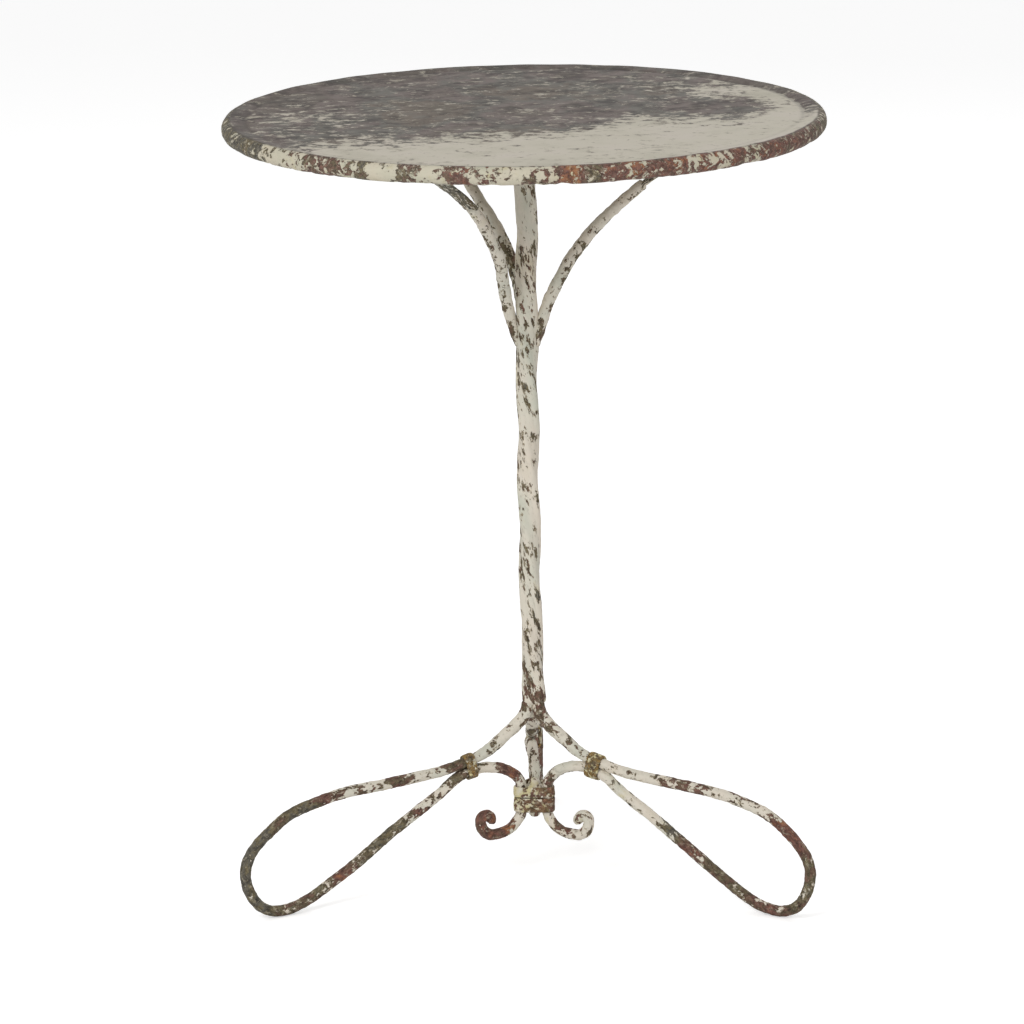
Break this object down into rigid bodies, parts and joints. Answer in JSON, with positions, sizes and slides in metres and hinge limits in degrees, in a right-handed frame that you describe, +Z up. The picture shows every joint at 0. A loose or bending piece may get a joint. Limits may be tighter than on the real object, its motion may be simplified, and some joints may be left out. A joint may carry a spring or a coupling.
{
  "type": "bistro table",
  "caption": "Round garden bistro table: wired sheet-metal top on a twisted-rod stem, with looped rod legs and a strapped hub.",
  "frame": {"origin": "on the floor at the stem's axis", "axes": "+Z up along the stem; the user stands at -Y; one leg points to +Y and the other two to the front left and front right"},
  "size_m": [0.5734, 0.5826, 0.7501],
  "materials": {
    "worn_top_paint": "cream paint worn to dull grey-brown metal, matte",
    "flaked_iron": "cream paint flaking off brown rusted iron, satin",
    "bare_wire": "rusted, dull"
  },
  "bodies": {
    "root": {"top_sheet": "worn_top_paint", "rim_wire": "bare_wire", "head_plate": "flaked_iron", "strand_left": "flaked_iron", "strand_right": "flaked_iron", "strand_back": "flaked_iron", "branch_left": "flaked_iron", "branch_right": "flaked_iron", "branch_back": "flaked_iron", "tab_left": "flaked_iron", "tab_right": "flaked_iron", "tab_back": "flaked_iron", "leg_left": "flaked_iron", "leg_right": "flaked_iron", "leg_back": "flaked_iron", "collar_left": "flaked_iron", "collar_right": "flaked_iron", "collar_back": "flaked_iron", "hub_core": "flaked_iron", "hub_strap_lower": "flaked_iron", "hub_strap_upper": "flaked_iron"}
  },
  "joints": []
}
